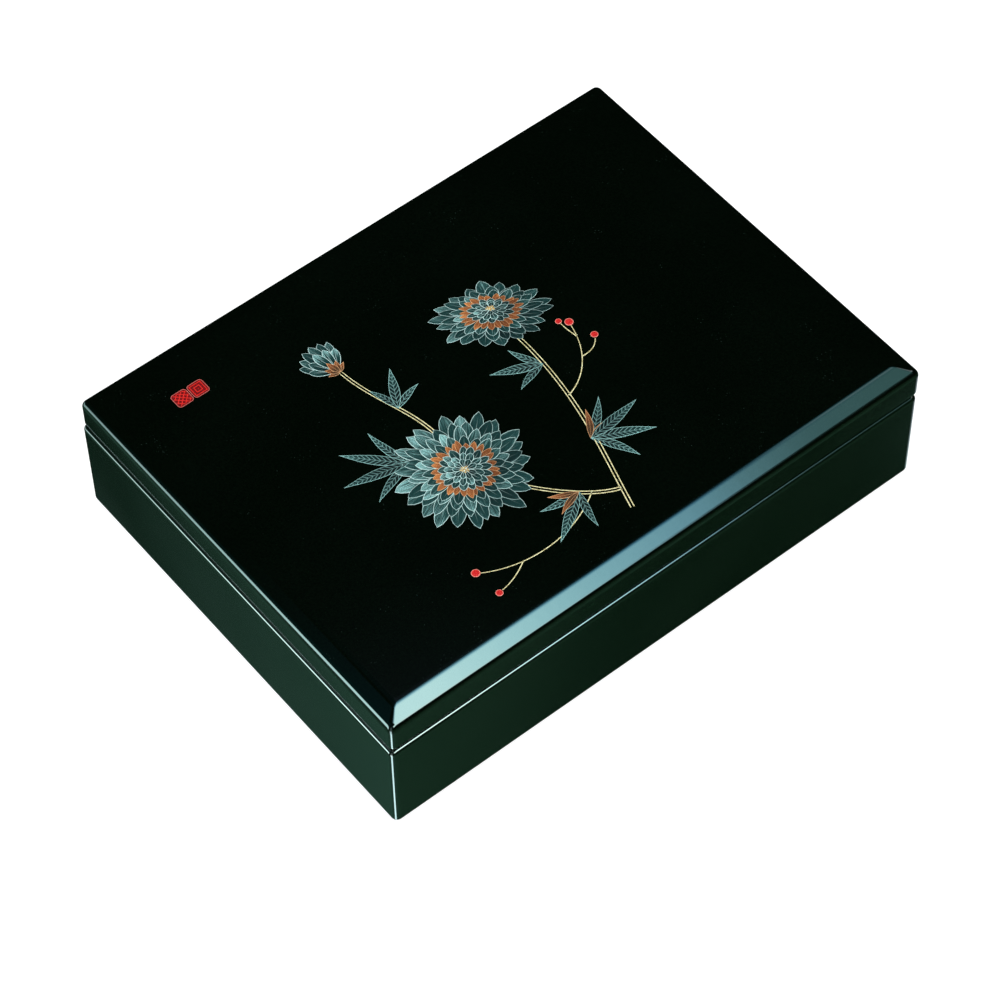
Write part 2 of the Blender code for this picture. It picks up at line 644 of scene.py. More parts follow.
@dataclass
class Shell:
    """A closed shell of lacquered wood: one wall profile taken round a rectangle with softened corners."""

    length: float
    width: float
    middle: Vector
    corner_steps: int = 12
    round_steps: int = 10

    def arc(self, before: Turn, turn: Turn, after: Turn) -> list[Turn]:
        """Rounds one turn of the profile.

        Args:
            before: The turn before it.
            turn: The turn to round.
            after: The turn after it.

        Returns:
            The rings that carry the profile round on an arc.
        """
        into = Vector((turn.inset - before.inset, turn.height - before.height))
        out = Vector((after.inset - turn.inset, after.height - turn.height))
        heading_in = math.atan2(into.y, into.x)
        bend = (math.atan2(out.y, out.x) - heading_in + math.pi) % math.tau - math.pi
        longest = LONGEST_REACH * min(into.length, out.length)
        reach = min(turn.round * math.tan(abs(bend) / 2), longest)
        radius = reach / math.tan(abs(bend) / 2)
        side = math.copysign(1.0, bend)
        start = Vector((turn.inset, turn.height)) - into.normalized() * reach
        centre = start + side * radius * Vector((-math.sin(heading_in), math.cos(heading_in)))
        corner_in = turn.corner + (before.corner - turn.corner) * reach / into.length
        corner_out = turn.corner + (after.corner - turn.corner) * reach / out.length
        rings = []
        for step in range(self.round_steps + 1):
            share = step / self.round_steps
            heading = heading_in + bend * share
            point = centre + side * radius * Vector((math.sin(heading), -math.cos(heading)))
            corner = corner_in + (corner_out - corner_in) * share
            finish = before.finish if share < 0.5 else turn.finish
            if turn.bend is not None and share < 1:
                finish = turn.bend
            rings.append(Turn(point.x, point.y, corner, 0.0, finish))
        return rings

    def soften(self, turns: list[Turn]) -> list[Turn]:
        """Rounds each turn of a profile that asks for it.

        Args:
            turns: The profile's turns.

        Returns:
            The rings along the profile.
        """
        rings = [turns[0]]
        for before, turn, after in zip(turns, turns[1:], turns[2:]):
            rings += self.arc(before, turn, after) if turn.round > 0 else [turn]
        return [*rings, turns[-1]]

    def first_ring(self, mesh: bmesh.types.BMesh, turn: Turn) -> bmesh.types.BMFace:
        """Draws the rounded rectangle at the first turn, as the face that closes that end.

        Args:
            mesh: The mesh that the face goes into.
            turn: The turn, with its inset, height and corner radius.

        Returns:
            The face.
        """
        stretch = Matrix.Diagonal((*self.half(turn), 1.0, 1.0))
        place = Matrix.Translation((*self.middle, turn.height)) @ stretch
        face = rounded_rectangle(mesh, place, turn.corner, self.corner_steps)
        face.material_index = turn.finish
        return face

    def half(self, turn: Turn) -> Vector:
        """Gives half the rectangle's length and width at a turn."""
        return Vector((self.length / 2 - turn.inset, self.width / 2 - turn.inset))

    def arc_middle(self, turn: Turn) -> Vector:
        """Gives the middle of a corner's arc at a turn, for the corner at the right and the back."""
        return self.half(turn) - Vector((turn.corner, turn.corner))

    def move(self, vert: bmesh.types.BMVert, before: Turn, turn: Turn) -> None:
        """Moves a point of one turn's rounded rectangle to its place on the next one.

        Args:
            vert: The point.
            before: The turn that it lies on.
            turn: The turn that it moves to.
        """
        spot = vert.co.xy - self.middle
        sign = Vector((math.copysign(1.0, spot.x), math.copysign(1.0, spot.y)))
        way = (spot - sign * self.arc_middle(before)) / before.corner
        there = self.middle + sign * self.arc_middle(turn) + way * turn.corner
        vert.co = Vector((*there, turn.height))

    def build(self, name: str, turns: list[Turn], finishes: list[Finish]) -> bpy.types.Object:
        """Makes the shell: one ring drawn at its first turn, and extruded from each turn to the next.

        Args:
            name: The piece's name.
            turns: The wall's profile, from one end to the other.
            finishes: The surfaces that the turns number.

        Returns:
            The finished piece.
        """
        mesh = bmesh.new()
        rings = self.soften(turns)
        edges = list(self.first_ring(mesh, rings[0]).edges)
        for before, turn in zip(rings, rings[1:]):
            drawn = bmesh.ops.extrude_edge_only(mesh, edges=edges)["geom"]
            edges = [item for item in drawn if isinstance(item, bmesh.types.BMEdge)]
            for item in drawn:
                if isinstance(item, bmesh.types.BMVert):
                    self.move(item, before, turn)
                elif isinstance(item, bmesh.types.BMFace):
                    item.material_index = before.finish
        for face in bmesh.ops.contextual_create(mesh, geom=edges)["faces"]:
            face.material_index = rings[-2].finish
        bmesh.ops.recalc_face_normals(mesh, faces=mesh.faces)
        if mesh.calc_volume(signed=True) < 0:
            bmesh.ops.reverse_faces(mesh, faces=mesh.faces)
        piece = new_piece(name, mesh, finishes)
        piece.data.set_sharp_from_angle(angle=SHARP_ANGLE)
        weigh = piece.modifiers.new("weighted_normals", "WEIGHTED_NORMAL")
        weigh.weight = 100
        weigh.keep_sharp = True
        return piece


def rounded_rectangle(
    mesh: bmesh.types.BMesh, place: Matrix, corner: float, steps: int,
) -> bmesh.types.BMFace:
    """Draws the first face of a mesh: a flat rectangle with round corners.

    Args:
        mesh: The empty mesh that the face goes into.
        place: What carries a square from -1 to 1 to the rectangle's size and place.
        corner: The radius of the corners.
        steps: How many edges each corner has.

    Returns:
        The face.
    """
    made = bmesh.ops.create_grid(mesh, x_segments=1, y_segments=1, size=1.0, matrix=place)
    bmesh.ops.bevel(
        mesh, geom=made["verts"], offset=corner, segments=steps, profile=0.5,
        affect="VERTICES", material=-1,
    )
    return next(iter(mesh.faces))


def new_piece(name: str, mesh: bmesh.types.BMesh, finishes: list[Finish]) -> bpy.types.Object:
    """Turns a finished mesh into a piece of the scene that rides on the box.

    Args:
        name: The piece's name.
        mesh: The mesh, which is used up.
        finishes: The surfaces, in the order that the faces number them.

    Returns:
        The piece.
    """
    data = bpy.data.meshes.new(name)
    mesh.to_mesh(data)
    mesh.free()
    for finish in finishes:
        data.materials.append(finish.material())
    data.shade_smooth()
    piece = bpy.data.objects.new(name, data)
    bpy.context.scene.collection.objects.link(piece)
    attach(piece, "root")
    LOG.info("%s: %d faces", name, len(data.polygons))
    return piece


@dataclass
class Case:
    """The lower case: underside, outer wall, ledge, raised lip and the empty inside."""

    corner: float = 3.2 * MM
    foot_round: float = 3.0 * MM
    rim: float = 60.5 * MM
    rim_round: float = 2.1 * MM
    ledge: float = 5.9 * MM
    lip_thickness: float = 3.0 * MM
    lip_corner: float = 2.0 * MM
    lip_round: float = 0.9 * MM
    inner_corner: float = 4.0 * MM
    floor: float = 5.0 * MM
    floor_fillet: float = 2.5 * MM

    def build(self) -> bpy.types.Object:
        """Makes the case in the CAD node's own box.

        Returns:
            The case.
        """
        low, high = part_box("box_body")
        inside = self.ledge + self.lip_thickness
        turns = [
            Turn(inside, 0.0, self.corner, finish=1),
            Turn(0.0, 0.0, self.corner, self.foot_round, finish=0),
            Turn(0.0, self.rim, self.corner, self.rim_round, finish=0, bend=2),
            Turn(self.ledge, self.rim, self.lip_corner, finish=0),
            Turn(self.ledge, high.z, self.lip_corner, self.lip_round, finish=0),
            Turn(inside, high.z, self.inner_corner, self.lip_round, finish=1),
            Turn(inside, self.floor, self.inner_corner, self.floor_fillet, finish=1),
            Turn(inside + 2 * self.floor_fillet, self.floor, self.inner_corner, finish=1),
        ]
        shell = Shell(high.x - low.x, high.y - low.y, (high.xy + low.xy) / 2)
        piece = shell.build("lacquered_case", turns, [SIDE_LACQUER_PAINTED_REFLECTION, INNER_LACQUER, RIM_LACQUER_PAINTED_REFLECTION])
        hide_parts("box_body")
        return piece


@dataclass
class Lid:
    """The flush lid: side, soft shoulder, sloped border and the flat polished top."""

    corner: float = 3.2 * MM
    wall: float = 4.8 * MM
    top_thickness: float = 5.0 * MM
    rim_round: float = 4.0 * MM
    inner_round: float = 0.5 * MM
    inner_corner: float = 2.0 * MM
    ceiling_fillet: float = 2.0 * MM
    shoulder_round: float = 4.1 * MM
    slope_inset: float = 10.2 * MM
    slope_rise: float = 2.85 * MM
    crest_round: float = 16.0 * MM
    crest_corner: float = 1.0 * MM

    def build(self) -> bpy.types.Object:
        """Makes the lid in the CAD node's own box.

        Returns:
            The lid.
        """
        low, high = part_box("lid")
        ceiling = high.z - self.top_thickness
        shoulder = high.z - self.slope_rise
        turns = [
            Turn(self.wall + 2 * self.ceiling_fillet, ceiling, self.inner_corner, finish=2),
            Turn(self.wall, ceiling, self.inner_corner, self.ceiling_fillet, finish=2),
            Turn(self.wall, low.z, self.inner_corner, self.inner_round, finish=1),
            Turn(0.0, low.z, self.corner, self.rim_round, finish=1, bend=3),
            Turn(0.0, shoulder, self.corner, self.shoulder_round, finish=0),
            Turn(self.slope_inset, high.z, self.crest_corner, self.crest_round, finish=0),
            Turn(2 * self.slope_inset, high.z, self.crest_corner, finish=0),
        ]
        shell = Shell(high.x - low.x, high.y - low.y, (high.xy + low.xy) / 2)
        piece = shell.build("lacquered_lid", turns, [POLISHED, SIDE_LACQUER_PAINTED_REFLECTION, INNER_LACQUER, RIM_LACQUER_PAINTED_REFLECTION])
        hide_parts("lid")
        return piece


@dataclass(frozen=True)
class Blade:
    """The outline of one petal or leaf, in millimetres and radians."""

    length: float
    width: float
    bend: float = 0.0
    belly: float = 0.6
    point: float = 0.7

    def half_width(self, share: float) -> float:
        """Gives half the blade's width.

        Args:
            share: The share of its length, 0 at the root.

        Returns:
            Half its width there.
        """
        turn = math.log(0.5) / math.log(self.belly)
        swell = max(math.sin(math.pi * min(share, 1.0) ** turn), 0.0) ** self.point
        return max(swell * self.width / 2, THINNEST)

    def middle(self, share: float, heading: float) -> tuple[Vector, float]:
        """Follows the blade's rib.

        Args:
            share: The share of its length, 0 at the root.
            heading: The way that the root points.

        Returns:
            The place from the root, and the way that the rib points there.
        """
        bend = self.bend if abs(self.bend) > STRAIGHT else STRAIGHT
        there = heading + bend * share
        scale = self.length / bend
        place = Vector((math.sin(there) - math.sin(heading), math.cos(heading) - math.cos(there)))
        return place * scale, there


@dataclass
class Sheet:
    """A sheet of paint: many thin blades, ribbons or beads gathered in one mesh on the lid's top.

    slot names the record's material slot, which nothing here reads; base is the height of the surface that
    the paint lies on, and the steps are how many faces a blade or a ribbon has across and along, and a bead
    around and pole to pole.
    """

    name: str
    finish: Finish
    slot: str
    base: float
    blade_steps: tuple[int, int] = (6, 14)
    ribbon_steps: tuple[int, int] = (2, 40)
    bead_steps: tuple[int, int] = (20, 10)

    def __post_init__(self) -> None:
        """Starts an empty sheet."""
        self.mesh = bmesh.new()
        self.mesh.loops.layers.uv.new("UVMap")
        layers = self.mesh.verts.layers.float
        self.layers = {key: layers.new(key) for key in ("half_width", "blade_length", "tone", "reach")}

    def mark(self, vert: bmesh.types.BMVert, **values: float) -> None:
        """Stores numbers on a point for the paint to read."""
        for key, value in values.items():
            vert[self.layers[key]] = value

    def put(self, vert: bmesh.types.BMVert, x: float, y: float, height: float) -> None:
        """Puts a point in its place: millimetres from the box's middle, and above the surface."""
        vert.co = Vector((x * MM, y * MM, self.base + height * MM))

    def add_blade(
        self,
        blade: Blade,
        root: Vector,
        heading: float,
        lift: float,
        tone: float,
        squash: Matrix | None = None,
    ) -> None:
        """Lays one petal or leaf on the sheet.

        Args:
            blade: Its outline.
            root: Where its root lies, in millimetres.
            heading: The way that its root points.
            lift: How high it lies in the paint, in millimetres.
            tone: How light it is, around 0.5 to 1.
            squash: A change of shape for a blossom that is seen at a slant.
        """
        wide, long = self.blade_steps
        made = bmesh.ops.create_grid(self.mesh, x_segments=wide, y_segments=long, size=1.0, calc_uvs=True)
        for vert in made["verts"]:
            across, share = vert.co.x, (vert.co.y + 1) / 2
            half = blade.half_width(share)
            spot, there = blade.middle(share, heading)
            sideways = Vector((-math.sin(there), math.cos(there))) * across * half
            flat = spot + sideways
            if squash is not None:
                flat = squash @ flat
            height = lift + BLADE_CROWN * (1 - across * across) + BLADE_TILT * across
            self.put(vert, root.x + flat.x, root.y + flat.y, height)
            self.mark(vert, half_width=half, blade_length=blade.length, tone=tone)

    def add_ribbon(self, knots: list[Vector], start: float, end: float, aside: float) -> None:
        """Lays a thin stem along a smooth curve.

        Args:
            knots: The curve's two ends with their two handles between them, in millimetres.
            start: Its width where it starts.
            end: Its width at its tip.
            aside: How far it runs beside the curve, in millimetres.
        """
        wide, long = self.ribbon_steps
        made = bmesh.ops.create_grid(self.mesh, x_segments=wide, y_segments=long, size=1.0, calc_uvs=True)
        for vert in made["verts"]:
            across, share = vert.co.x, (vert.co.y + 1) / 2
            place, way = cubic(knots, share)
            half = (start + (end - start) * share) / 2
            spot = place + Vector((-way.y, way.x)) * (across * half + aside)
            self.put(vert, spot.x, spot.y, LINE_LIFT)

    def add_bead(self, place: Vector, radius: float, lift: float) -> None:
        """Lays one low round bead.

        Args:
            place: Its middle, in millimetres.
            radius: Its radius in millimetres.
            lift: How high it lies in the paint.
        """
        around, down = self.bead_steps
        made = bmesh.ops.create_uvsphere(self.mesh, u_segments=around, v_segments=down, radius=1.0)
        for vert in made["verts"]:
            x, y, z = vert.co
            self.mark(vert, reach=math.hypot(x, y))
            self.put(vert, place.x + x * radius, place.y + y * radius, lift + BEAD_RISE * z)

    def finish_piece(self, thick: float = PAINT_FILM) -> bpy.types.Object:
        """Makes the sheet a piece of the box.

        Args:
            thick: The paint's thickness in millimetres, or 0 where the mesh is closed already.

        Returns:
            The piece.
        """
        piece = new_piece(self.name, self.mesh, [self.finish])
        if thick > 0:
            body = piece.modifiers.new("paint_thickness", "SOLIDIFY")
            body.thickness = thick * MM
            body.offset = -1.0
        return piece


def cubic(knots: list[Vector], share: float) -> tuple[Vector, Vector]:
    """Follows a cubic curve.

    Args:
        knots: Its two ends with the two handles between them.
        share: How far along, 0 to 1.

    Returns:
        The place, and the unit direction there.
    """
    a, b, c, d = knots
    rest = 1 - share
    place = a * rest ** 3 + b * 3 * rest ** 2 * share + c * 3 * rest * share ** 2 + d * share ** 3
    way = (b - a) * rest ** 2 + (c - b) * 2 * rest * share + (d - c) * share ** 2
    return place, way.normalized()


@dataclass(frozen=True)
class PetalRing:
    """One ring of a blossom's petals, in millimetres; tone is how light they are, around 0.5 to 1."""

    count: int
    length: float
    width: float
    tone: float
    metal: bool = False


@dataclass(frozen=True)
class Blossom:
    """A many-petalled flower: rings of petals, the longest underneath, around a heart of gold grains."""

    centre: Triple
    rings: tuple[PetalRing, ...]
    facing: float
    slant: float
    seed: int
    ring_step: float = 0.026
    cup: float = 0.45
    lit_from: float = 2.2
    accent: float = 0.16
    grains: int = 11
    grain_radius: float = 0.55
    heart: float = 2.1

    def squash(self) -> Matrix:
        """Gives the flattening of a blossom that faces away."""
        turn = Matrix.Rotation(self.facing, 2)
        return turn @ Matrix.Diagonal((self.slant, 1.0)) @ turn.transposed()

    def middle(self, number: int) -> Vector:
        """Gives the middle of a ring, which moves up the cup of a blossom that faces away.

        Args:
            number: The ring's number, 0 underneath.

        Returns:
            Its middle, in millimetres.
        """
        lean = Vector((math.cos(self.facing), math.sin(self.facing))) * (1 - self.slant)
        share = number / len(self.rings)
        return Vector(self.centre[:2]) + lean * self.rings[0].length * share * self.cup

    def paint_on(self, teal: Sheet, copper: Sheet, grains: Sheet) -> None:
        """Lays the rings of petals, then the grains of the heart.

        Args:
            teal: The sheet of the silver-teal petals.
            copper: The sheet of the copper petals.
            grains: The sheet of the gold grains.
        """
        dice = random.Random(self.seed)
        squash = self.squash()
        lift = self.centre[2]
        for number, ring in enumerate(self.rings):
            step = math.tau / ring.count
            sheet = copper if ring.metal else teal
            for petal in range(ring.count):
                angle = (petal + 0.5 * (number % 2) + dice.uniform(-0.10, 0.10)) * step
                blade = Blade(
                    ring.length * dice.uniform(0.90, 1.04), ring.width * dice.uniform(0.90, 1.08),
                    bend=0.22 + dice.uniform(-0.14, 0.14), belly=0.70, point=0.66,
                )
                light = 0.80 + 0.22 * math.cos(angle - self.lit_from)
                accent = self.accent if (petal + number) % 3 == 0 else 0.0
                tone = ring.tone * light + accent + dice.uniform(-0.08, 0.08)
                height = lift + self.ring_step * number
                sheet.add_blade(blade, self.middle(number), angle, height, tone, squash)
        crown = lift + self.ring_step * len(self.rings)
        for number in range(self.grains):
            angle = number * GOLDEN_ANGLE
            away = Vector((math.cos(angle), math.sin(angle))) * self.heart * math.sqrt(number / self.grains)
            grains.add_bead(self.middle(len(self.rings)) + squash @ away, self.grain_radius, crown)


@dataclass(frozen=True)
class Fan:
    """A fan of pointed blades from one root: a tuft of leaves, the petals of a bud or its cup."""

    root: Triple
    heading: float
    count: int
    spread: float
    length: float
    width: float
    tone: float
    belly: float = 0.42
    point: float = 1.05
    curl: float = 0.35
    falling: float = 0.28
    contrast: float = 0.3

    def paint_on(self, sheet: Sheet) -> None:
        """Lays the blades, the middle one last.

        Args:
            sheet: The sheet that they belong to.
        """
        shares = [2 * number / max(self.count - 1, 1) - 1 for number in range(self.count)]
        for number, share in enumerate(sorted(shares, key=abs, reverse=True)):
            angle = math.radians(self.heading + share * self.spread / 2)
            size = 1 - self.falling * abs(share)
            blade = Blade(self.length * size, self.width * size, share * self.curl, self.belly, self.point)
            tone = self.tone * (1.0 - self.contrast * (number % 2))
            height = self.root[2] + FAN_STEP * number
            sheet.add_blade(blade, Vector(self.root[:2]), angle, height, tone)


@dataclass(frozen=True)
class Stem:
    """A thin stem along a cubic curve, drawn as one line or as two lines side by side."""

    knots: tuple[tuple[float, float], ...]
    width: float = 0.56
    end: float = 0.40
    gap: float = 0.0

    def paint_on(self, sheet: Sheet) -> None:
        """Lays the stem's lines on a sheet.

        Args:
            sheet: The sheet that they belong to.
        """
        knots = [Vector(knot) for knot in self.knots]
        for side in ((-0.5, 0.5) if self.gap > 0 else (0.0,)):
            sheet.add_ribbon(knots, self.width, self.end, side * self.gap)


FULL_BLOOM = (
    PetalRing(21, 36.0, 7.8, 0.74), PetalRing(21, 31.0, 7.0, 0.56), PetalRing(20, 26.0, 6.4, 0.84),
    PetalRing(19, 21.5, 5.6, 0.58), PetalRing(26, 17.6, 3.7, 0.86, True), PetalRing(17, 13.6, 4.4, 0.62),
    PetalRing(13, 10.0, 3.9, 0.92), PetalRing(9, 6.4, 3.2, 0.66),
)
TURNED_BLOOM = (
    PetalRing(18, 31.0, 7.6, 0.60), PetalRing(18, 26.2, 6.8, 0.48), PetalRing(17, 21.4, 6.0, 0.70),
    PetalRing(23, 16.8, 3.7, 0.82, True), PetalRing(14, 12.4, 4.3, 0.52), PetalRing(11, 9.0, 3.7, 0.78),
    PetalRing(8, 5.8, 3.0, 0.56),
)


@dataclass(frozen=True)
class Spray:
    """The painted spray on the lid: two blossoms and a bud on thin stems, with leaves and red berries."""

    blossoms: tuple[Blossom, ...] = (
        Blossom((-46.0, -30.0, 0.05), FULL_BLOOM, 0.0, 1.0, 12),
        Blossom((24.0, 36.0, 0.05), TURNED_BLOOM, math.radians(62), 0.70, 11),
    )
    leaves: tuple[Fan, ...] = (
        Fan((12.8, -54.0, 0.02), -10.0, 4, 84.0, 36.0, 6.6, 0.80),
        Fan((24.0, -4.0, 0.02), 156.0, 3, 62.0, 27.0, 5.6, 0.74),
        Fan((-64.0, -10.0, 0.02), 150.0, 4, 80.0, 38.0, 6.4, 0.82),
        Fan((-12.0, -75.0, 0.02), 214.0, 3, 62.0, 31.0, 5.8, 0.76),
        Fan((-47.7, 19.4, 0.02), 62.0, 3, 66.0, 25.0, 5.2, 0.78),
    )
    copper_leaves: tuple[Fan, ...] = (
        Fan((12.8, -54.0, 0.06), 34.0, 2, 30.0, 25.0, 4.8, 0.80),
        Fan((-12.0, -75.0, 0.06), 176.0, 2, 26.0, 22.0, 4.6, 0.80),
        Fan((-56.0, 55.0, 0.15), 104.0, 5, 112.0, 9.0, 3.8, 0.80),
    )
    bud_petals: tuple[Fan, ...] = (
        Fan(
            (-56.0, 55.0, 0.02), 104.0, 6, 58.0, 23.0, 6.0, 0.70,
            belly=0.66, point=0.7, curl=0.1, falling=0.12,
        ),
        Fan(
            (-56.0, 55.0, 0.08), 104.0, 5, 74.0, 17.5, 5.4, 0.92,
            belly=0.66, point=0.7, curl=0.1, falling=0.12,
        ),
    )
    stems: tuple[Stem, ...] = (
        Stem(((2.0, -98.0), (12.0, -62.0), (30.0, -20.0), (24.0, 36.0)), gap=1.7),
        Stem(((5.2, -86.0), (-8.0, -82.0), (-28.0, -64.0), (-46.0, -30.0)), gap=1.6),
        Stem(((-44.0, -14.0), (-40.0, 10.0), (-54.0, 28.0), (-56.0, 55.0)), gap=1.5),
        Stem(((21.2, -27.0), (34.0, -24.0), (46.0, -12.0), (50.0, 6.0))),
        Stem(((42.2, -12.6), (47.0, -13.0), (51.0, -12.0), (54.0, -8.0))),
        Stem(((47.8, -1.6), (47.4, 2.0), (46.6, 6.0), (46.8, 10.0))),
        Stem(((-7.6, -79.1), (-30.0, -94.0), (-58.0, -94.0), (-78.0, -82.0))),
        Stem(((-58.3, -89.5), (-64.0, -93.0), (-70.0, -95.5), (-76.0, -96.0))),
    )
    berries: tuple[Triple, ...] = (
        (50.6, 8.2, 2.3), (55.3, -5.8, 2.0), (46.8, 11.8, 1.7), (-79.8, -80.6, 2.3), (-78.2, -96.4, 1.9),
    )

    def build(self) -> list[bpy.types.Object]:
        """Paints the spray on the lid's top.

        Returns:
            The painted pieces.
        """
        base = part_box("lid")[1].z
        leaves = Sheet("spray_leaves", DEEP_TEAL, "teal_paint", base)
        petals = Sheet("spray_petals", SILVER_TEAL, "teal_paint", base)
        copper = Sheet("spray_copper_petals", COPPER, "copper_paint", base)
        stems = Sheet("spray_stems", GOLD, "gold_paint", base)
        grains = Sheet("spray_grains", GRAIN, "gold_paint", base)
        berries = Sheet("spray_berries", RED, "red_paint", base)
        shared = (
            (stems, self.stems), (leaves, self.leaves),
            (copper, self.copper_leaves), (petals, self.bud_petals),
        )
        for sheet, parts in shared:
            for part in parts:
                part.paint_on(sheet)
        for blossom in self.blossoms:
            blossom.paint_on(petals, copper, grains)
        for x, y, radius in self.berries:
            berries.add_bead(Vector((x, y)), radius, BERRY_LIFT)
        made = [sheet.finish_piece() for sheet in (leaves, petals, copper, stems)]
        return [*made, grains.finish_piece(0.0), berries.finish_piece(0.0)]


@dataclass
class RedFrames:
    """Two small red frames in a row along the box, near a corner of the lid, in millimetres."""

    side: float = 9.15
    gap: float = 0.45
    corner: float = 1.9
    corner_steps: int = 8
    centre: tuple[float, float] = (-120.5, 91.2)

    def build(self) -> list[bpy.types.Object]:
        """Paints both frames.

        Returns:
            The two pieces.
        """
        step = (self.side + self.gap) / 2
        return [
            self.one("red_frame_lower", Lattice.DIAMONDS, self.centre[0] - step),
            self.one("red_frame_upper", Lattice.SQUARES, self.centre[0] + step),
        ]

    def one(self, name: str, lattice: Lattice, x: float) -> bpy.types.Object:
        """Paints one frame.

        Args:
            name: The piece's name.
            lattice: The frame's filling.
            x: Where its middle lies along the box.

        Returns:
            The piece.
        """
        half = self.side / 2
        finish = RedFrame(
            name + "_paint", lattice, paint("5a0204"), paint("d8231c"), paint("c86a62"), half, self.corner,
        )
        mesh = bmesh.new()
        across = mesh.verts.layers.float.new("frame_x")
        upward = mesh.verts.layers.float.new("frame_y")
        rounded_rectangle(mesh, Matrix.Diagonal((half, half, 1.0, 1.0)), self.corner, self.corner_steps)
        raised = bmesh.ops.extrude_face_region(mesh, geom=mesh.faces[:])
        top = [item for item in raised["geom"] if isinstance(item, bmesh.types.BMVert)]
        bmesh.ops.translate(mesh, verts=top, vec=(0.0, 0.0, PAINT_FILM))
        for vert in mesh.verts:
            vert[across] = vert.co.x
            vert[upward] = vert.co.y
        bmesh.ops.recalc_face_normals(mesh, faces=mesh.faces)
        bmesh.ops.scale(mesh, verts=mesh.verts, vec=(MM, MM, MM))
        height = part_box("lid")[1].z - FRAME_HOLD * MM
        bmesh.ops.translate(mesh, verts=mesh.verts, vec=(x * MM, self.centre[1] * MM, height))
        piece = new_piece(name, mesh, [finish])
        piece.data.set_sharp_from_angle(angle=SHARP_ANGLE)
        return piece


@dataclass(frozen=True)
class Viewpoint:
    """The photograph's point of view."""

    azimuth: float = math.radians(-38.140)
    elevation: float = math.radians(53.962)
    roll: float = math.radians(-1.040)
    distance: float = 1.789777
    aim_height: float = 0.040
    slide_right: float = -0.000363
    slide_up: float = -0.031929
    focal_px: float = 3595.8
    frame_px: float = 1000.0
    sensor_mm: float = 36.0
    nearest: float = 0.05
    farthest: float = 50.0

    def place(self) -> bpy.types.Object:
        """Sets the camera up.

        Returns:
            The camera.
        """
        away = math.cos(self.elevation)
        back = Vector((
            math.sin(self.azimuth) * away, -math.cos(self.azimuth) * away, math.sin(self.elevation),
        ))
        level = Vector((math.cos(self.azimuth), math.sin(self.azimuth), 0.0))
        upright = back.cross(level)
        right = level * math.cos(self.roll) + upright * math.sin(self.roll)
        up = upright * math.cos(self.roll) - level * math.sin(self.roll)
        spot = Vector((0.0, 0.0, self.aim_height)) + right * self.slide_right + up * self.slide_up
        spot = spot + back * self.distance
        data = bpy.data.cameras.new("camera")
        data.sensor_fit = "HORIZONTAL"
        data.sensor_width = self.sensor_mm
        data.lens = self.focal_px / self.frame_px * self.sensor_mm
        data.clip_start = self.nearest
        data.clip_end = self.farthest
        camera = bpy.data.objects.new("camera", data)
        turn = Matrix((right, up, back)).transposed().to_4x4()
        camera.matrix_world = Matrix.Translation(spot) @ turn
        bpy.context.scene.collection.objects.link(camera)
        bpy.context.scene.camera = camera
        return camera


# The overhead softbox's colours, from its left end to its right end
OVERHEAD_COLOURS = [
    (0.095, (0.640, 1.000, 0.985)), (0.175, (0.510, 0.872, 0.872)), (0.235, (0.405, 0.761, 0.800)),
    (0.360, (0.258, 0.540, 0.600)), (0.515, (0.143, 0.342, 0.425)), (0.595, (0.084, 0.197, 0.216)),
    (0.670, (0.051, 0.127, 0.133)), (0.780, (0.039, 0.099, 0.096)),
]


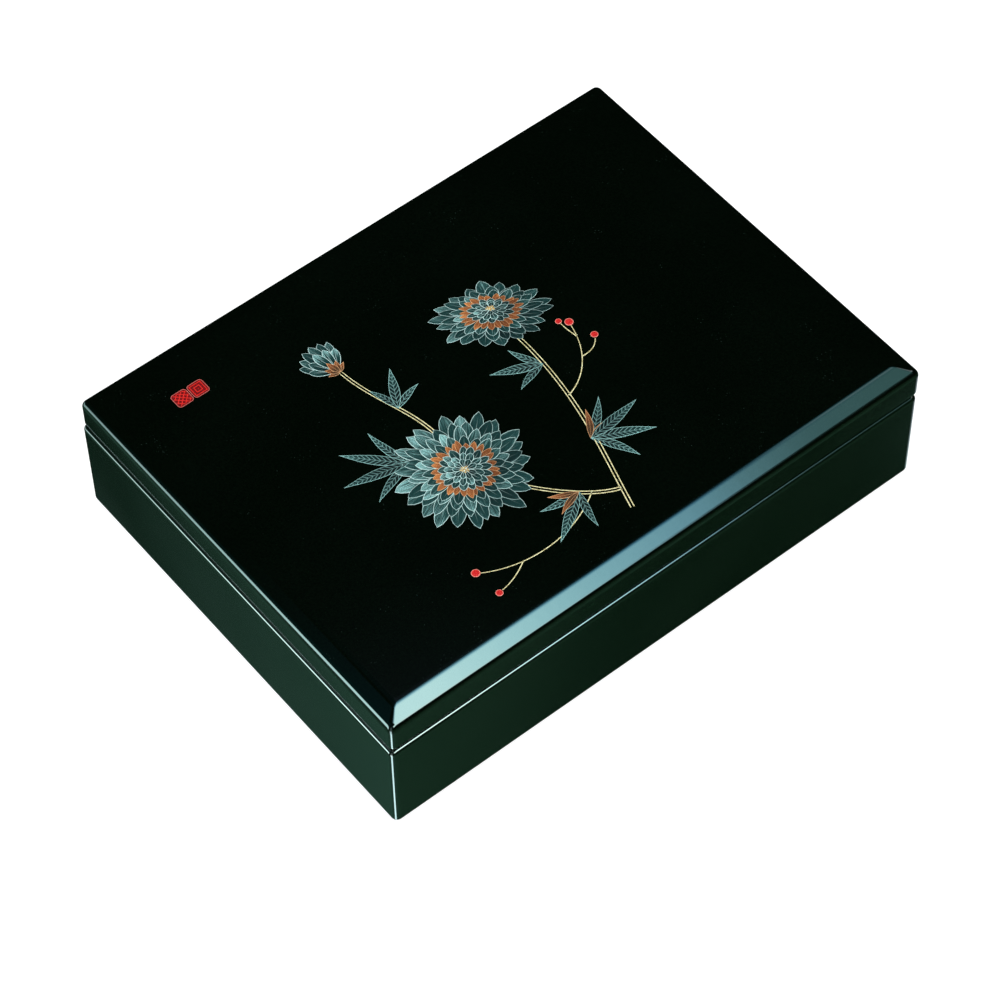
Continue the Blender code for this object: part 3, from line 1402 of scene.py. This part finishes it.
@dataclass
class Surroundings:
    """What the lacquer mirrors: softboxes overhead and at the left, a strip at the front, and dark cloth.

    Each part is laid out by the direction that it is seen in: x to the box's right end, y to its back and
    z up. The fields are the strengths of the parts.
    """

    overhead_level: float = 18.3
    overhead_back_share: float = 0.006
    left_level: float = 15.6
    left_back_level: float = 4.9
    left_halo_share: float = 0.008
    front_level: float = 11.0
    front_upper_share: float = 0.12
    near_glint_level: float = 3.5
    edge_glint_level: float = 1.2
    right_cloth_level: float = 0.7
    back_cloth_level: float = 0.6
    seam_level: float = 0.9
    end_cloth_level: float = 0.34

    def __post_init__(self) -> None:
        """Starts the world's node tree."""
        world = bpy.data.worlds.new("studio")
        world.use_nodes = True
        bpy.context.scene.world = world
        self.graph = Graph(world.node_tree)
        way = self.graph.node("ShaderNodeTexCoord", output="Generated")
        self.x, self.y, self.z = self.graph.parts(way)

    def overhead(self) -> Signal:
        """Gives the overhead softbox, which fades and cools to the right and to the back.

        Returns:
            Its light.
        """
        graph, x, y = self.graph, self.x, self.y
        fade = graph.node("ShaderNodeValToRGB", {"stops": OVERHEAD_COLOURS}, {0: (x - 0.30) / 0.20})
        # Its back edge, which is soft, and runs further back at the right end
        near = y - x.rise(0.37, 0.32, 0.0, 0.05)
        at_end = x.rise(0.405, 0.445)
        onset = near.rise(0.21, -0.01) * (1.0 - at_end) + y.rise(0.25, 0.16) * at_end
        back = y.rise(0.36, 0.20) * self.overhead_back_share
        depth = onset * near.rise(0.15, -0.08, 0.74, 1.0) + back
        # Its front edge, the corner that it lacks there, and its two ends
        corner = x.rise(0.37, 0.425) * y.rise(-0.24, -0.42) * 0.9
        shape = depth * y.rise(-0.66, -0.52) * (1.0 - corner)
        begin = x.rise(0.03, 0.16).most(x.rise(-0.25, -0.10) * y.rise(-0.30, -0.42))
        shape = shape * begin * x.rise(0.66, 0.52) * self.z.rise(0.2, 0.4)
        cool = graph.blend(depth, (0.50, 1.0, 1.35), (1.0, 1.0, 1.0))
        plain = graph.blend(y.rise(-0.30, -0.50), cool, (1.10, 1.0, 0.97))
        tinted = graph.node("ShaderNodeVectorMath", {"operation": "MULTIPLY"}, {0: fade, 1: plain})
        return graph.lit(tinted, shape * self.overhead_level)

    def left(self) -> Signal:
        """Gives the softbox at the left, brightest towards the front, with a faint halo above it.

        Returns:
            Its light.
        """
        graph, x, y = self.graph, self.x, self.y
        lean = (x * -1.0).maths("ARCTAN2", self.z) + y.rise(0.44, 0.55, 0.17, -0.12)
        level = y.rise(0.57, 0.43, self.left_back_level, self.left_level)
        level = level * y.rise(0.08, 0.13) * x.rise(-0.05, -0.2)
        lamp = graph.lit((0.64, 1.0, 0.97), lean.within(1.10, 1.60, 0.07, 0.09) * level)
        halo = lean.rise(0.27, 0.48) * lean.rise(1.2, 1.05)
        return graph.summed(lamp, graph.lit((0.10, 1.0, 1.10), halo * level * self.left_halo_share))

    def front(self) -> Signal:
        """Gives the upright strip that the front corner mirrors, dimmer above the horizon.

        Returns:
            Its light.
        """
        turn = (self.y * -1.0).maths("ARCTAN2", self.x * -1.0)
        height = self.z.rise(0.16, 0.0, self.front_upper_share, 1.0) * self.z.rise(0.90, 0.72)
        strip = turn.within(0.34, 0.77, 0.05, 0.05) * height
        return self.graph.lit((0.70, 1.0, 1.02), strip * self.front_level)

    def corner_glint(self) -> Signal:
        """Gives the two small lamps that the lid's right corner mirrors.

        Returns:
            Their light.
        """
        x, y = self.x, self.y
        near = x.within(0.60, 0.73, 0.03, 0.03) * y.within(-0.06, 0.12, 0.03, 0.03)
        edge = x.within(0.435, 0.50, 0.01, 0.02) * y.within(0.09, 0.17, 0.03, 0.02)
        both = near * self.near_glint_level + edge * self.edge_glint_level
        return self.graph.lit((0.8, 1.0, 1.0), both * self.z.rise(0.5, 0.6))

    def cloth(self) -> Signal:
        """Gives the dark cloth low around the box, paler towards the front corner and at both far ends.

        Returns:
            Its light.
        """
        graph, x, y, z = self.graph, self.x, self.y, self.z
        low, deep = z.rise(0.1, -0.4), z.rise(-0.5, -0.7)
        along_left = ((y + x * 1.88) * -1.2 + 0.026).most(0.008).least(0.26)
        at_left = graph.lit((0.36, 1.0, 0.72), along_left * x.rise(0.1, -0.1) * low)
        along_front = (x + y * 0.9).rise(0.02, -0.13, 0.013, 0.183)
        at_front = graph.lit((0.34, 1.0, 0.62), along_front * x.rise(-0.1, 0.1) * low)
        back = x.within(-0.15, 0.27, 0.08, 0.05) * y.within(0.38, 0.555, 0.03, 0.01)
        beyond = x.rise(0.472, 0.56) * self.right_cloth_level + back * self.back_cloth_level
        far = graph.lit((0.80, 0.92, 1.05), beyond * deep)
        under_lid = x.within(-0.185, -0.10, 0.015, 0.03) * y.within(0.42, 0.56, 0.03, 0.02)
        seam = graph.lit((0.62, 1.0, 1.0), under_lid * deep * self.seam_level)
        end = x.rise(0.452, 0.478) * z.rise(-0.789, -0.802)
        at_end = graph.lit((0.42, 1.0, 0.76), end * self.end_cloth_level)
        return graph.summed(at_left, at_front, far, seam, at_end)

    def ceiling(self) -> Signal:
        """Gives the faint blue of the ceiling around the softboxes.

        Returns:
            Its light.
        """
        x, y, z = self.x, self.y, self.z
        above = z.rise(0.5, 0.7)
        slope = x.rise(-0.1, -0.16) * z.rise(0.85, 0.885)
        crest = x.within(0.0, 0.22, 0.05, 0.05) * y.rise(0.48, 0.44) * 0.8
        blue = self.graph.lit((0.015, 0.045, 0.075), (slope + crest) * above)
        top = x.rise(0.37, 0.28) * x.rise(0.2, 0.27) * y.rise(0.48, 0.41)
        return self.graph.summed(blue, self.graph.lit((0.10, 0.13, 0.19), top * above))

    def build(self) -> None:
        """Adds the parts up for what is mirrored; the camera sees white, and matt paint sees grey."""
        graph = self.graph
        parts = (self.overhead(), self.left(), self.front(), self.corner_glint(), self.cloth())
        mirrored = graph.summed(self.ceiling(), *parts)
        path = graph.node("ShaderNodeLightPath", output="Is Glossy Ray")
        camera = graph.node("ShaderNodeLightPath", output="Is Camera Ray")
        plain = graph.blend(camera, (0.60, 0.62, 0.62), (1.0, 1.0, 1.0))
        colour = graph.blend(path, plain, mirrored)
        light = graph.node("ShaderNodeBackground", inputs={"Color": colour, "Strength": 1.0})
        graph.node("ShaderNodeOutputWorld", inputs={"Surface": light})


@dataclass(frozen=True)
class SoftLamp:
    """A square lamp that faces the box and that the lacquer doesn't mirror, in metres and watts."""

    name: str
    place: Triple
    size: float
    power: float
    colour: Colour

    def hang(self) -> None:
        """Hangs the lamp in its place."""
        data = bpy.data.lights.new(self.name, "AREA")
        data.shape = "SQUARE"
        data.size = self.size
        data.energy = self.power
        data.color = self.colour
        lamp = bpy.data.objects.new(self.name, data)
        turn = (-Vector(self.place)).to_track_quat("-Z", "Y").to_matrix().to_4x4()
        lamp.matrix_world = Matrix.Translation(self.place) @ turn
        lamp.visible_glossy = False
        bpy.context.scene.collection.objects.link(lamp)


@dataclass
class Studio:
    """A pale floor, soft lamps that light it and the painting, and what the lacquer mirrors."""

    floor_size: float = 12.0
    floor_gap: float = 0.0002
    floor: Paper = Paper("floor_paper", (0.30, 0.30, 0.30), 0.85)
    lamps: tuple[SoftLamp, ...] = (
        SoftLamp("overhead_lamp", (0.2, -0.3, 1.9), 1.8, 30.0, (1.0, 1.0, 1.0)),
        SoftLamp("left_lamp", (-1.7, 0.6, 1.3), 1.2, 10.0, (0.94, 0.98, 1.0)),
    )

    def build(self) -> None:
        """Sets up the floor, the lamps, the surroundings and the picture's tone."""
        self.lay_floor()
        for lamp in self.lamps:
            lamp.hang()
        Surroundings().build()
        view = bpy.context.scene.view_settings
        view.view_transform = "Standard"
        view.look = "None"

    def lay_floor(self) -> None:
        """Lays the floor, which the lacquer doesn't mirror."""
        mesh = bmesh.new()
        bmesh.ops.create_grid(mesh, x_segments=4, y_segments=4, size=self.floor_size / 2)
        bmesh.ops.translate(mesh, verts=mesh.verts, vec=(0.0, 0.0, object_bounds()[0].z - self.floor_gap))
        data = bpy.data.meshes.new("floor")
        mesh.to_mesh(data)
        mesh.free()
        data.materials.append(self.floor.material())
        floor = bpy.data.objects.new("floor", data)
        bpy.context.scene.collection.objects.link(floor)
        floor.visible_glossy = False
        floor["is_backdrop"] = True


def main() -> None:
    """Builds the box, its painting, the studio and the camera."""
    logging.basicConfig(level=logging.INFO, format="%(name)s: %(message)s")
    Viewpoint().place()
    Case().build()
    Lid().build()
    Spray().build()
    RedFrames().build()
    Studio().build()


if __name__ == "__main__":
    main()
